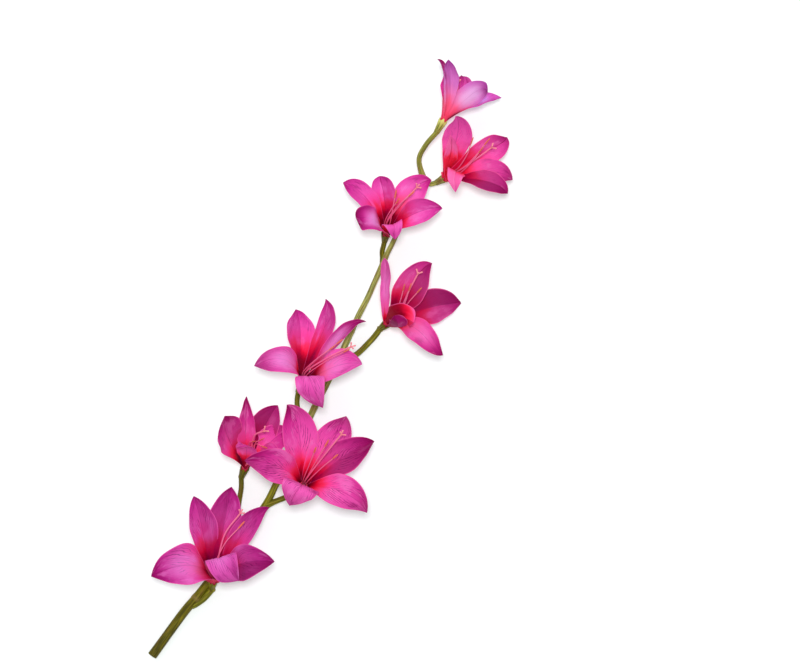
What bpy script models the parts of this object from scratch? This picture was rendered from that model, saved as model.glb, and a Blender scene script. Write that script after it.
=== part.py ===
"""Gladiolus stem lying on a surface: one green stem with eight open blooms.

Sizes are millimetres and are scaled to metres when the meshes are made. Places are given as the spray
lies, x to the right and y up the table from the middle of the cut end, z over the surface. The whole is
then turned so that the stem runs along +Y, with the origin at the bottom centre of its box.
"""
import bpy
import bmesh
import numpy as np
from math import cos, radians, sin
from mathutils import Matrix, Vector

NAME = "gladiolus_stem"
MM = 0.001
TURN = radians(26.7)

# The clearance between a bloom and the calyx it stands in, and between the stamens and the bloom
GAP = 0.3

# The calyx cups and the pedicels they end
CUP_R = 3.9
CUP_WALL = 0.2
CUP_LONG = 10.0
CUP_WAIST = (2.6, -6.5)
CUP_SHOULDER = -2.5
SOCKET_R = 3.2
SOCKET_DEEP = 1.6
RIM = 0.6
PEDICEL_R = 1.7
PEDICEL_IN = 2.5
SIDES = 8

# The core that a bloom's tepals spring from: its foot in the socket, and its top inside the flower
FOOT_R = 2.7
CORE_R = 3.4
CORE_TOP = 7.5

# A tepal: its thickness, its root and its greatest width along the rib, as shares where they have no unit
SHEET = 1.0
ROOT_R = 1.5
ROOT_UP = 1.2
WHORL_STEP = 0.6
ROOT_SHARE = 0.13
TIP_SHARE = 0.05
WIDEST = 0.63
SWELL = 2.1
TAPER = 1.9
TEPALS = 6

# How a tepal is carried: up the tube, over its lip, and turned to face along the bloom's axis
REACH = 42
FLARE = 16
LIP = 0.6
FACING = 32
ROLLED_BY = 0.6
OPEN_BY = 0.5
ROUNDED = 0.5
HOLLOW = 0.12
CREASE = 0.1
RIB_STEPS = 120

# The grid that a tepal is bent from, with its rows closer together towards the tip
ALONG = 6
ACROSS = 4
ROWS = np.linspace(0, 1, ALONG + 1) ** 0.85

# The stamens and the style, by their distance up the bloom's axis, their distance from it and their radii
STALK_FOOT = 8.4
STALK_RING = 1.4
STALK_NECK = 22
NECK_SPREAD = 2.6
STALK_ARCH = 3
STALK_R = 0.75
FILAMENT_R = 0.7
ANTHER = ((0.8, 1.2), (5.5, 1.2), (7.5, 0.5))
ARM_LONG = 3.5
ARM_R = 0.6
BASE = [(0, 11), (1.2, 10.8), (2.0, 9.4), (2.2, CORE_TOP + GAP), (0, CORE_TOP + GAP)]

MERGE = 0.00001
CREASE_ANGLE = radians(40)
GREEN = (0.16, 0.17, 0.03, 1)
MAGENTA = (0.66, 0.03, 0.27, 1)
CORAL = (0.80, 0.16, 0.20, 1)

# The main stem: right, up, height of its middle and radius, from the cut end to the fork of the last two blooms
STEM = [(0, 0, 3.6, 3.6), (27, 37, 4.2, 3.5), (42, 55, 5, 3.4), (70, 92, 6.5, 3.1), (97, 129, 8, 2.8),
        (108, 150, 8.6, 2.7), (125, 181, 9.2, 2.6), (139, 212, 9.6, 2.5), (152, 237, 9.8, 2.5),
        (167, 269, 10, 2.4), (177, 291, 10.2, 2.3), (187, 311, 10.6, 2.2), (201, 343, 11.4, 2.1),
        (208, 357, 12, 2.0), (222, 387, 13, 1.9), (233.5, 411, 14.5, 1.8)]

# Each bloom: its calyx, the heading and rise of its axis in degrees, the way of its pedicel, and six tepals.
# A tepal has its tip (right and up from the calyx, height over the surface), its width and its bend along
# the axis; then as needed its roll in degrees, how far the tube carries it, its sway and its flare.
BLOOMS = {
    1: dict(at=(53, 64, 12), heading=74, rise=46, pedicel=[(35, 43, 4.6), (44.5, 47, 4.4), (51, 53, 4.2)], tepals=[
        dict(tip=(16, 82, 14), width=29, bend=6),
        dict(tip=(49, 65, 24), width=20, bend=6, sway=9),
        dict(tip=(55, 22, 60), width=31, bend=8, roll=18, sway=-5),
        dict(tip=(26, 5, 62), width=30, bend=18, reach=54),
        dict(tip=(-50, 8, 42), width=36, bend=8, widest=0.54),
        dict(tip=(-15, 75, 30), width=28, bend=6, roll=16)],
        style=(25, 61, 44), filaments=[(23, 50, 40), (15, 48, 46), (31, 52, 46)]),
    2: dict(at=(80, 161, 14), heading=68, rise=38,
            pedicel=[(72, 95, 6.5), (72.5, 112, 6.5), (75, 132, 7), (77, 145, 7.4)], tepals=[
        dict(tip=(29, 55, 22), width=26, bend=4),
        dict(tip=(38, 32, 20), width=26, bend=4),
        dict(tip=(13, 19, 62), width=24, bend=8),
        dict(tip=(-10, 13, 56), width=26, bend=4),
        dict(tip=(-15, 47, 56), width=28, bend=-8, flare=36),
        dict(tip=(3, 59, 32), width=19, bend=4)],
        style=(18, 34, 46), filaments=[(10, 26, 50), (13, 31, 42), (6, 31, 48)]),
    3: dict(at=(129.5, 145, 16), heading=64, rise=60,
            pedicel=[(98, 130, 8), (111, 135, 7.2), (121, 138.5, 6.4)], tepals=[
        dict(tip=(38, 62, 30), width=31, bend=6, sway=-6),
        dict(tip=(62, 41, 38), width=28, bend=6, sway=4),
        dict(tip=(56, -18, 60), width=29, bend=6, roll=-4, sway=8),
        dict(tip=(-9, -12, 58), width=31, bend=16, reach=52, sway=-6),
        dict(tip=(-46, 26, 66), width=29, bend=8),
        dict(tip=(-12, 72, 38), width=34, bend=6, roll=12, reach=46)],
        style=(34, 47, 60), filaments=[(12, 33, 66), (28, 28, 66), (21, 38, 58)]),
    4: dict(at=(128.5, 233, 12), heading=66, rise=51,
            pedicel=[(129, 189, 9), (126.6, 205, 6.5), (124.8, 218, 4.2)], tepals=[
        dict(tip=(21, 74, 8), width=19, bend=4, sway=-6),
        dict(tip=(56, 54.5, 28), width=21, bend=6, roll=-60, sway=12),
        dict(tip=(53, 18.5, 54), width=29, bend=8),
        dict(tip=(20, -18, 56), width=29, bend=16, reach=52, sway=-16),
        dict(tip=(-38, 17, 50), width=25, bend=10, reach=54, widest=0.58),
        dict(tip=(-5, 65, 0.4), width=23, bend=2, roll=18, reach=30, widest=0.58)],
        style=(43, 33, 57), filaments=[(26, 31, 58), (38, 29, 60), (32, 36, 54)]),
    5: dict(at=(201, 285, 12), heading=38, rise=50,
            pedicel=[(161, 256.5, 9.5), (168, 258, 8.6), (176, 259.5, 7), (188, 271, 5), (193.5, 277.5, 4.4)], tepals=[
        dict(tip=(39.5, 52, 30), width=28, bend=6, sway=11, widest=0.56),
        dict(tip=(65, 18.5, 0.4), width=26, bend=2, sway=2, reach=30, widest=0.58),
        dict(tip=(48.6, -26, 44), width=27, bend=6, sway=-18, widest=0.57),
        dict(tip=(19, 6, 60), width=22, bend=10),
        dict(tip=(9, 15, 60), width=22, bend=10),
        dict(tip=(-1, 56, 52), width=27, bend=4, roll=52, sway=12, flare=34)],
        style=(27, 42, 50), filaments=[(15, 29, 50), (20, 29, 50), (27, 27, 50)]),
    6: dict(at=(201, 362, 14), heading=80, rise=58, pedicel=[(199, 338, 10), (198, 347, 7), (199, 352, 6)], tepals=[
        dict(tip=(39, 46, 26), width=25, bend=5, sway=5),
        dict(tip=(48, 21, 44), width=23, bend=5),
        dict(tip=(8, -5.5, 54), width=27, bend=14, reach=46),
        dict(tip=(-25, 9, 54), width=32, bend=5, roll=-8, widest=0.58),
        dict(tip=(-36, 43, 38), width=22, bend=5, roll=10, sway=-8),
        dict(tip=(-5, 49, 30), width=21, bend=5, sway=3)],
        style=(28, 43, 48), filaments=[(9, 27, 56), (11, 35, 50), (17, 26, 56)]),
    7: dict(at=(251, 410, 14), heading=26, rise=45, pedicel=[(233, 409, 14), (238.5, 405.5, 10.5)], tepals=[
        dict(tip=(54, 35.5, 10), width=23, bend=5, sway=-5),
        dict(tip=(58, -2, 26), width=22, bend=5),
        dict(tip=(53.6, -14, 34), width=21, bend=5),
        dict(tip=(11, -14, 56), width=28, bend=12, sway=-5),
        dict(tip=(7.6, 33.5, 64), width=26, bend=5, flare=26),
        dict(tip=(13, 50, 54), width=31, bend=5, sway=10, flare=46)],
        style=(39, 24, 44), filaments=[(22, 27, 50), (29, 20, 50), (34, 27, 46)]),
    8: dict(at=(249, 456.5, 32), heading=61, rise=-5,
            pedicel=[(233, 410, 14.5), (229.6, 426, 20), (235.5, 438, 27.3)], tepals=[
        dict(tip=(15, 41, 8), width=20, bend=3),
        dict(tip=(51, 22, 20), width=29, bend=-3, flare=22, sway=3),
        dict(tip=(40, 31, 52), width=26, bend=3, roll=-34, sway=11),
        dict(tip=(3, 52, 56), width=14, bend=3, sway=0),
        dict(tip=(-4, 53, 40), width=22, bend=1, flare=22),
        dict(tip=(4, 46, 14), width=20, bend=3)],
        style=(22, 40, 30), filaments=[(16, 31, 33), (19, 28, 30), (13, 32, 28)]),
}


def unit(vector):
    return vector / np.linalg.norm(vector, axis=-1, keepdims=True)


def clear_scene():
    for thing in list(bpy.data.objects):
        bpy.data.objects.remove(thing, do_unlink=True)


def new_collection(name):
    collection = bpy.data.collections.new(name)
    bpy.context.scene.collection.children.link(collection)
    return collection


def material(name, colour, roughness):
    made = bpy.data.materials.new(name)
    made.use_nodes = True
    shader = made.node_tree.nodes["Principled BSDF"]
    shader.inputs["Base Color"].default_value = colour
    shader.inputs["Roughness"].default_value = roughness
    return made


def add_object(name, bm, collection):
    mesh = bpy.data.meshes.new(name)
    bm.to_mesh(mesh)
    bm.free()
    made = bpy.data.objects.new(name, mesh)
    collection.objects.link(made)
    return made


def evaluated_mesh(thing):
    bpy.context.view_layer.update()
    graph = bpy.context.evaluated_depsgraph_get()
    return bpy.data.meshes.new_from_object(thing.evaluated_get(graph), depsgraph=graph)


def smooth_path(points, pieces):
    """Points along one smooth curve through the given ones, with their radii."""
    given = np.array(points, float)
    ends = np.vstack([2 * given[0] - given[1], given, 2 * given[-1] - given[-2]])
    out = []
    for i in range(len(given) - 1):
        a, b, c, d = ends[i:i + 4]
        for s in np.arange(pieces) / pieces:
            out.append(0.5 * (2 * b + (c - a) * s + (2 * a - 5 * b + 4 * c - d) * s ** 2
                              + (3 * b - a - 3 * c + d) * s ** 3))
    return np.array(out + [given[-1]])


def tube(name, path, collection, bevel_resolution):
    """A closed tube along x, y, z, radius rows."""
    curve = bpy.data.curves.new(name, "CURVE")
    curve.dimensions = "3D"
    curve.bevel_depth = MM
    curve.bevel_resolution = bevel_resolution
    curve.use_fill_caps = True
    spline = curve.splines.new("POLY")
    spline.points.add(len(path) - 1)
    for point, (x, y, z, radius) in zip(spline.points, path):
        point.co = (x * MM, y * MM, z * MM, 1)
        point.radius = radius
    thing = bpy.data.objects.new(name, curve)
    collection.objects.link(thing)
    bm = bmesh.new()
    bm.from_mesh(evaluated_mesh(thing))
    bmesh.ops.remove_doubles(bm, verts=bm.verts, dist=MERGE)
    bmesh.ops.recalc_face_normals(bm, faces=bm.faces)
    bpy.data.objects.remove(thing, do_unlink=True)
    return add_object(name, bm, collection)


def turned(name, profile, at, axis, collection):
    """A solid turned from radius, height rows, stood at a point along an axis."""
    mesh = bpy.data.meshes.new(name)
    rows = [(radius * MM, 0, height * MM) for radius, height in profile]
    mesh.from_pydata(rows, [(i, i + 1) for i in range(len(rows) - 1)], [])
    thing = bpy.data.objects.new(name, mesh)
    collection.objects.link(thing)
    screw = thing.modifiers.new("Turn", "SCREW")
    screw.steps = SIDES
    screw.render_steps = SIDES
    screw.use_merge_vertices = True
    screw.merge_threshold = MERGE
    bm = bmesh.new()
    bm.from_mesh(evaluated_mesh(thing))
    bpy.data.objects.remove(thing, do_unlink=True)
    bmesh.ops.remove_doubles(bm, verts=bm.verts, dist=MERGE)
    bmesh.ops.recalc_face_normals(bm, faces=bm.faces)
    stand = Vector(axis).to_track_quat("Z", "Y").to_matrix().to_4x4()
    bm.transform(Matrix.Translation(Vector(at) * MM) @ stand)
    return add_object(name, bm, collection)


def triangles(mesh):
    """The mesh in triangles. Where two faces would share a diagonal, one of them is split from its middle."""
    bm = bmesh.new()
    bm.from_mesh(mesh)
    while True:
        split = bm.copy()
        bmesh.ops.triangulate(split, faces=split.faces)
        shared = [{vert.index for vert in edge.verts} for edge in split.edges if len(edge.link_faces) > 2]
        wide = [face for pair in shared[:1] for face in bm.faces
                if len(face.verts) > 3 and pair <= {vert.index for vert in face.verts}]
        if not wide:
            bm.free()
            return split
        split.free()
        bmesh.ops.poke(bm, faces=wide[:1])
        bm.verts.index_update()


def union(base, pieces, name):
    """One body from the base and all that the collection holds, which is then emptied."""
    join = base.modifiers.new("Join", "BOOLEAN")
    join.operation = "UNION"
    join.operand_type = "COLLECTION"
    join.collection = pieces
    join.solver = "MANIFOLD"
    mesh = evaluated_mesh(base)
    for thing in list(pieces.objects) + [base]:
        bpy.data.objects.remove(thing, do_unlink=True)
    bpy.data.collections.remove(pieces)
    return add_object(name, triangles(mesh), spray)


def finish(thing, finish_material):
    thing.data.materials.clear()
    thing.data.materials.append(finish_material)
    thing.data.shade_smooth()
    thing.data.set_sharp_from_angle(angle=CREASE_ANGLE)


def bloom_frame(bloom):
    """The bloom's axis, the way down from it square to it, and the third way round."""
    heading, rise = radians(bloom["heading"]), radians(bloom["rise"])
    axis = np.array([cos(rise) * cos(heading), cos(rise) * sin(heading), sin(rise)])
    low = unit(np.array([0, 0, -1.0]) + axis[2] * axis)
    return axis, low, np.cross(axis, low)


def root_angles(bloom):
    """Where the six tepals spring from, evenly round the axis and turned to face their tips."""
    axis, low, left = bloom_frame(bloom)
    at = np.array(bloom["at"], float)
    step = radians(360 / TEPALS)
    angles = []
    for k, tepal in enumerate(bloom["tepals"]):
        x, y, z = tepal["tip"]
        reach = np.array([x, y, z - at[2]])
        angles.append(np.arctan2(reach @ left, reach @ low) + k * step)
    turn = np.angle(np.mean(np.exp(1j * np.array(angles))))
    return [turn - k * step for k in range(TEPALS)]


def half_width(t, widest):
    """Half the width of a tepal along its rib, as a share of its greatest width."""
    rise = ROOT_SHARE + (1 - ROOT_SHARE) * np.sin(np.pi / 2 * np.clip(t / widest, 0, 1) ** SWELL)
    fall = np.clip((t - widest) / (1 - widest), 0, 1)
    return 0.5 * np.where(t < widest, rise, TIP_SHARE + (1 - TIP_SHARE) * (1 - fall ** TAPER))


def tepal_rib(start, axis, out, tip, spec):
    """The rib: up the tube, over its lip and out to the tip, with its length evened out."""
    lean = radians(spec.get("flare", FLARE))
    first = start + spec.get("reach", REACH) * (cos(lean) * axis + sin(lean) * out)
    second = first + LIP * (tip - first) + spec["bend"] * axis + spec.get("sway", 0) * np.cross(axis, out)
    s = np.linspace(0, 1, RIB_STEPS)[:, None]
    fine = (1 - s) ** 3 * start + 3 * (1 - s) ** 2 * s * first + 3 * (1 - s) * s ** 2 * second + s ** 3 * tip
    run = np.concatenate([[0], np.cumsum(np.linalg.norm(np.diff(fine, axis=0), axis=1))])
    return np.stack([np.interp(ROWS * run[-1], run, fine[:, i]) for i in range(3)], -1)


def tepal_sheet(bloom, angle, whorl, spec):
    """The middle surface of one tepal, as rows of points from its root to its tip."""
    axis, low, left = bloom_frame(bloom)
    at = np.array(bloom["at"], float)
    out = cos(angle) * low + sin(angle) * left
    x, y, z = spec["tip"]
    tip = np.array([at[0] + x, at[1] + y, z])
    start = at + ROOT_UP * axis + (ROOT_R + whorl * WHORL_STEP) * out
    rib = tepal_rib(start, axis, out, tip, spec)
    along = unit(np.gradient(rib, axis=0))
    across = np.cross(axis, out)
    side = unit(across - (along @ across)[:, None] * along)
    inner = np.cross(side, along)
    inner *= -np.sign(inner[0] @ out)
    rolled = np.clip(ROWS / ROLLED_BY, 0, 1)[:, None]
    roll = radians(spec.get("roll", 0) - FACING * sin(angle)) * rolled
    side, inner = side * np.cos(roll) + inner * np.sin(roll), inner * np.cos(roll) - side * np.sin(roll)
    half = spec["width"] * half_width(ROWS, spec.get("widest", WIDEST))
    far = np.maximum(np.linalg.norm(np.cross(rib - at, axis), axis=1), ROOT_R)
    opened = np.clip(ROWS / OPEN_BY, 0, 1)
    opened = opened * opened * (3 - 2 * opened)
    hollow = (1 - opened) * np.minimum(half / (2 * far), ROUNDED) + HOLLOW * opened
    v = np.linspace(-1, 1, ACROSS + 1)
    lift = half[:, None] * (hollow[:, None] * v ** 2 + CREASE * opened[:, None] * np.abs(v))
    return rib[:, None] + side[:, None] * (half[:, None, None] * v[:, None]) + inner[:, None] * lift[..., None]


def tepal(name, rows, collection):
    """A grid bent to the rows, split into triangles and given its thickness."""
    bm = bmesh.new()
    bmesh.ops.create_grid(bm, x_segments=ALONG, y_segments=ACROSS, size=0.5)
    for vert in bm.verts:
        i = round((vert.co.x + 0.5) * ALONG)
        j = round((vert.co.y + 0.5) * ACROSS)
        vert.co = Vector(rows[i, j]) * MM
    bmesh.ops.triangulate(bm, faces=bm.faces)
    sheet = add_object(name, bm, collection)
    solid = sheet.modifiers.new("Thickness", "SOLIDIFY")
    solid.thickness = SHEET * MM
    solid.offset = 0
    return sheet


def make_bloom(number, bloom):
    """Two whorls of three tepals on one core, whose foot stands in the calyx."""
    pieces = new_collection("bloom_pieces")
    for k, (spec, angle) in enumerate(zip(bloom["tepals"], root_angles(bloom))):
        tepal("tepal", tepal_sheet(bloom, angle, k % 2, spec), pieces)
    foot = GAP - SOCKET_DEEP
    profile = [(0, CORE_TOP), (CORE_R, CORE_TOP), (FOOT_R, RIM), (FOOT_R, foot), (0, foot)]
    core = turned("core", profile, bloom["at"], bloom_frame(bloom)[0], spray)
    return union(core, pieces, f"bloom_{number}")


def make_stamens(number, bloom):
    """Three filaments with their anthers and the longer style with its three arms, on one small base."""
    axis, low, left = bloom_frame(bloom)
    at = np.array(bloom["at"], float)
    pieces = new_collection("stamen_pieces")
    for k, (x, y, z) in enumerate([bloom["style"]] + bloom["filaments"]):
        ring = STALK_RING if k else 0
        out = cos(radians(120 * k)) * low + sin(radians(120 * k)) * left
        start = at + STALK_FOOT * axis + ring * out
        neck = at + STALK_NECK * axis + (NECK_SPREAD if k else 0) * out
        end = np.array([at[0] + x, at[1] + y, z])
        middle = 0.5 * (neck + end) + STALK_ARCH * axis
        way = [(*start, STALK_R), (*neck, STALK_R), (*middle, FILAMENT_R), (*end, FILAMENT_R)]
        path = smooth_path(way, 2)
        heading = unit(end - middle)
        if k:
            path = np.vstack([path, [(*(end + far * heading), radius) for far, radius in ANTHER]])
        else:
            side = unit(np.cross(heading, axis))
            for turn in (0, 120, 240):
                arm = cos(radians(turn)) * side + sin(radians(turn)) * np.cross(heading, side)
                tip = end + ARM_LONG * (heading + arm)
                tube("arm", [(*(end - ARM_R * heading), ARM_R), (*tip, STALK_R)], pieces, 0)
        tube("stalk", path, pieces, 0)
    base = turned("base", BASE, bloom["at"], axis, spray)
    return union(base, pieces, f"stamens_{number}")


def make_stem():
    """The main stem with its square cut end, the pedicels and the calyx cups, all one body."""
    pieces = new_collection("stem_pieces")
    cup = [(0, -SOCKET_DEEP), (SOCKET_R, -SOCKET_DEEP), (SOCKET_R, RIM), (CUP_R, RIM),
           (CUP_R - CUP_WALL, CUP_SHOULDER), CUP_WAIST, (PEDICEL_R + CUP_WALL, -CUP_LONG), (0, -CUP_LONG)]
    for bloom in BLOOMS.values():
        axis = bloom_frame(bloom)[0]
        foot = np.array(bloom["at"], float) - CUP_LONG * axis
        way = bloom["pedicel"] + [tuple(foot), tuple(foot + PEDICEL_IN * axis)]
        tube("pedicel", smooth_path([(*point, PEDICEL_R) for point in way], 2), pieces, 1)
        turned("cup", cup, bloom["at"], axis, pieces)
    main = tube("main", smooth_path(STEM, 2), spray, 2)
    return union(main, pieces, "stem")


def settle(things):
    """Turn the spray so its stem runs along +Y, and put the origin at the bottom centre of its box."""
    spin = Matrix.Rotation(TURN, 4, "Z")
    for thing in things:
        thing.data.transform(spin)
    points = np.array([vert.co for thing in things for vert in thing.data.vertices])
    low, high = points.min(axis=0), points.max(axis=0)
    centre = Vector(((low[0] + high[0]) / 2, (low[1] + high[1]) / 2, low[2]))
    for thing in things:
        thing.data.transform(Matrix.Translation(-centre))


clear_scene()
spray = new_collection(NAME)
green = material("stem_green", GREEN, 0.55)
magenta = material("petal_magenta", MAGENTA, 0.5)
coral = material("stamen_coral", CORAL, 0.5)

made = [make_stem()]
finish(made[0], green)
for number, bloom in BLOOMS.items():
    flower = make_bloom(number, bloom)
    finish(flower, magenta)
    stamens = make_stamens(number, bloom)
    finish(stamens, coral)
    made += [flower, stamens]
settle(made)
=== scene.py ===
import bpy
import numpy as np
from math import cos, pi, radians, sin
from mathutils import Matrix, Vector


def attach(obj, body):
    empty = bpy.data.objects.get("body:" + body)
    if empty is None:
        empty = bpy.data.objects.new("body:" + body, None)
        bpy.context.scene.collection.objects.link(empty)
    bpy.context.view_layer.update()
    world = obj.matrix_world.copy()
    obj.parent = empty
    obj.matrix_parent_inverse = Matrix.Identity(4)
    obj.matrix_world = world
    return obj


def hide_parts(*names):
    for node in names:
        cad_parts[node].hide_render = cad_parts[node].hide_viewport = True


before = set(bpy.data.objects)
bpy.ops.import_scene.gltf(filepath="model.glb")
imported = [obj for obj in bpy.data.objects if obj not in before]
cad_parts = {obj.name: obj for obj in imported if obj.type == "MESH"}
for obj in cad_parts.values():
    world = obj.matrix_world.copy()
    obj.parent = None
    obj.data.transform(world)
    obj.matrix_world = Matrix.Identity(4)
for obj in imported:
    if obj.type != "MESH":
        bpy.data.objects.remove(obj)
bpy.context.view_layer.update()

# Camera
# The spray lies on a table and is seen from straight above, turned a little in the picture, as photographed.
# Places on the spray are in millimetres right and up the table from the middle of the cut end, and over it.
MM = 0.001
TURN = radians(26.7)
CUT_END = np.array([-36.58, -284.42, 0.0])
EYE_AT = (213.3, 278.6, 2296.7)
LENS = 120
FILM_WIDE = 36
FARTHEST = 100


def placed(points):
    """Points of the spray in the frame of the part, in metres."""
    x, y, z = np.moveaxis(np.asarray(points, float), -1, 0)
    return (np.stack([x * cos(TURN) - y * sin(TURN), x * sin(TURN) + y * cos(TURN), z], -1) + CUT_END) * MM


eye = bpy.data.cameras.new("eye")
eye.lens = LENS
eye.sensor_width = FILM_WIDE
eye.clip_end = FARTHEST
camera = bpy.data.objects.new("camera", eye)
camera.location = placed(EYE_AT)
camera.rotation_euler = (0, 0, TURN)
bpy.context.scene.collection.objects.link(camera)
bpy.context.scene.camera = camera

# Table
# A white light panel of studio board under the flower, glowing a little so that shadows stay pale. It isn't
# part of the object.
TABLE_WIDE = 12.0
BOARD = (0.757, 0.808, 0.795, 1)
BOARD_GLOW = 0.235
BOARD_GRAIN = 900.0


def add(tree, kind, inputs=(), **settings):
    """A shader node with its settings made and its inputs set or linked, by name or number."""
    node = tree.nodes.new("ShaderNode" + kind)
    for name, value in settings.items():
        setattr(node, name, value)
    for name, value in dict(inputs).items():
        if isinstance(value, bpy.types.NodeSocket):
            tree.links.new(value, node.inputs[name])
        else:
            node.inputs[name].default_value = value
    return node


def sums(tree, operation, first, second=0.0, third=0.0, clamp=False):
    """One step of arithmetic on sockets or numbers."""
    step = add(tree, "Math", {0: first, 1: second, 2: third}, operation=operation, use_clamp=clamp)
    return step.outputs[0]


def times(tree, first, second):
    """Two sockets or numbers multiplied."""
    return sums(tree, "MULTIPLY", first, second)


def mixed(tree, share, first, second, blend="MIX"):
    """Two colours mixed by a share."""
    mix = add(tree, "Mix", {0: share, 6: first, 7: second}, data_type="RGBA", blend_type=blend)
    return mix.outputs[2]


def between(tree, value, low, high):
    """0 at low, 1 at high and smooth between; low may be the greater one."""
    step = add(tree, "MapRange", {0: value, 1: low, 2: high}, interpolation_type="SMOOTHSTEP")
    return step.outputs[0]


def ramp(tree, value, stops):
    """A colour that changes along a value."""
    node = add(tree, "ValToRGB", {0: value})
    elements = node.color_ramp.elements
    elements.remove(elements[1])
    elements[0].position, elements[0].color = stops[0][0], (*stops[0][1], 1)
    for place, colour in stops[1:]:
        elements.new(place).color = (*colour, 1)
    return node.outputs[0]


def new_material(name):
    """A material whose Principled shader is ready to be wired."""
    made = bpy.data.materials.new(name)
    made.use_nodes = True
    return made, made.node_tree, made.node_tree.nodes["Principled BSDF"]


def new_object(name, data):
    """A mesh or a lamp that stands in the scene."""
    made = bpy.data.objects.new(name, data)
    bpy.context.scene.collection.objects.link(made)
    return made


board, tree, shader = new_material("board")
shader.inputs["Base Color"].default_value = BOARD
shader.inputs["Emission Color"].default_value = (1, 1, 1, 1)
shader.inputs["Emission Strength"].default_value = BOARD_GLOW
shader.inputs["Specular IOR Level"].default_value = 0.05
grain = add(tree, "TexNoise", {"Scale": BOARD_GRAIN, "Detail": 2.0})
tree.links.new(sums(tree, "MULTIPLY_ADD", grain.outputs[0], 0.1, 0.8), shader.inputs["Roughness"])
half = TABLE_WIDE / 2
mesh = bpy.data.meshes.new("table")
mesh.from_pydata([(-half, -half, 0), (half, -half, 0), (half, half, 0), (-half, half, 0)], [], [(0, 1, 2, 3)])
mesh.materials.append(board)
new_object("table", mesh)

# Light
# A small soft box nearly overhead gives the tight shadows, a wide one from the upper left the forms, and an
# even white room fills the rest.
ROOM = 0.44
# Each soft box: its name, its place, its width in metres and its watts
SOFT_BOXES = [("soft_box", (210, 520, 3000), 0.42, 55), ("side_box", (-500, 1700, 1500), 1.6, 9)]

world = bpy.data.worlds.new("room")
world.use_nodes = True
world.node_tree.nodes["Background"].inputs[0].default_value = (1, 1, 1, 1)
world.node_tree.nodes["Background"].inputs[1].default_value = ROOM
bpy.context.scene.world = world
bpy.context.scene.view_settings.view_transform = "Standard"
for name, place, width, watts in SOFT_BOXES:
    lamp = bpy.data.lights.new(name, "AREA")
    lamp.size = width
    lamp.energy = watts
    light = new_object(name, lamp)
    light.location = placed(place)
    toward = placed((*EYE_AT[:2], 0)) - placed(place)
    light.rotation_mode = "QUATERNION"
    light.rotation_quaternion = Vector(toward).to_track_quat("-Z", "Y")

# Stem
# The cut stem with its eight side stalks, or pedicels, each ending in a flared green calyx. Main stem and
# pedicels are one growth: a pedicel swells where it leaves the stem, and has a brownish ring near its calyx.

# The way of the main stem from the cut end to the top, with its radius
STEM = [(0.3, 0.4, 4.2, 4.2), (27, 37, 4.6, 4.0), (42, 55, 5, 3.8), (70, 92, 6.5, 3.4), (97, 129, 8, 3.1),
        (108, 150, 8.6, 3.0), (125, 181, 9.2, 2.9), (139, 212, 9.6, 2.8), (152, 237, 9.8, 2.75),
        (167, 269, 10, 2.7), (177, 291, 10.2, 2.6), (187, 311, 10.6, 2.5), (201, 343, 11.4, 2.3),
        (208, 357, 12, 2.15), (222, 387, 13, 2.0), (233.5, 411, 14.5, 1.85)]
SPRAY_TOP = 411.0
STEM_SIDES = 28
# Joints of the main stem: share of the way along it, and how much it swells there
JOINTS = [(0.118, 0.10), (0.235, 0.06), (0.335, 0.10), (0.47, 0.09), (0.63, 0.10), (0.80, 0.09), (0.965, 0.12)]
JOINT_LONG, JOINT_MARK_LONG = 0.006, 0.0045
# Low ribs along the stem, and how much it narrows at its top
RIBS, RIB_DEEP, TOP_SHARE = 5, 0.035, 0.75
# The cut face from its pith to its rind: share of the stem's radius, how pale it is
CUT_FACE = [(0.45, 1.0), (0.86, 0.75), (1, 0.1)]
# Each bloom's calyx: its place, the heading and rise of its axis, and the way of its pedicel
CALYXES = {
    1: ((53, 64, 12), 74, 46, [(30, 41, 4.4), (37, 44.5, 4.6), (44, 49.3, 4.6), (48.7, 54.3, 4.5)]),
    2: ((80, 161, 14), 68, 38, [(72, 95, 6.5), (72.5, 112, 6.5), (75, 132, 7), (77, 145, 7.4)]),
    3: ((129.5, 145, 16), 64, 60, [(98, 130, 8), (111, 135, 7.2), (121, 138.5, 6.4)]),
    4: ((128.5, 233, 12), 66, 51, [(129, 189, 9), (126.6, 205, 6.5), (124.8, 218, 4.2)]),
    5: ((201, 285, 12), 38, 50, [(161, 256.5, 9.5), (168, 258, 8.6), (176, 259.5, 7), (188, 271, 5),
                                 (193.5, 277.5, 4.4)]),
    6: ((201, 362, 14), 80, 58, [(199, 338, 10), (198, 347, 7), (199, 352, 6)]),
    7: ((251, 410, 14), 26, 45, [(233, 409, 14), (238.5, 405.5, 10.5)]),
    8: ((249, 456.5, 32), 61, -5, [(233, 410, 14.5), (229.6, 426, 20), (235.5, 438, 27.3)]),
}
PEDICEL_R = 2.35
PEDICEL_SIDES = 20
# How many times thicker some pedicels are; the lowest is the thickest
THICK = {1: 1.38, 3: 1.1, 5: 1.15}
PEDICEL_WAIST = 0.93
# How much a pedicel swells where it leaves the stem; the lowest starts thin
COLLAR, COLLAR_LONG = 0.35, 0.10
OTHER_COLLARS = {1: -0.45}
# The ring near the calyx: share of the way along the pedicel, how much it swells there and how long it is
RING_AT, RING_SWELL, RING_LONG = 0.85, 0.22, 0.02
RING_MARK, RING_MARK_LONG = 0.8, 0.025
# How green each pedicel is, from 0, brown, to 1, fresh
FRESH = {1: 0.35, 2: 0.18, 3: 0.3, 4: 0.3, 5: 0.25, 6: 0.15, 7: 0.85, 8: 0.5}
# The calyx turned from its foot to its shoulder: height, radius
CALYX = [(-10.6, 2.1), (-10, 2.6), (-8.6, 2.75), (-6.5, 2.95), (-4.2, 3.25), (-2.2, 3.6), (-0.6, 3.8),
         (0.6, 3.86)]
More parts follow.
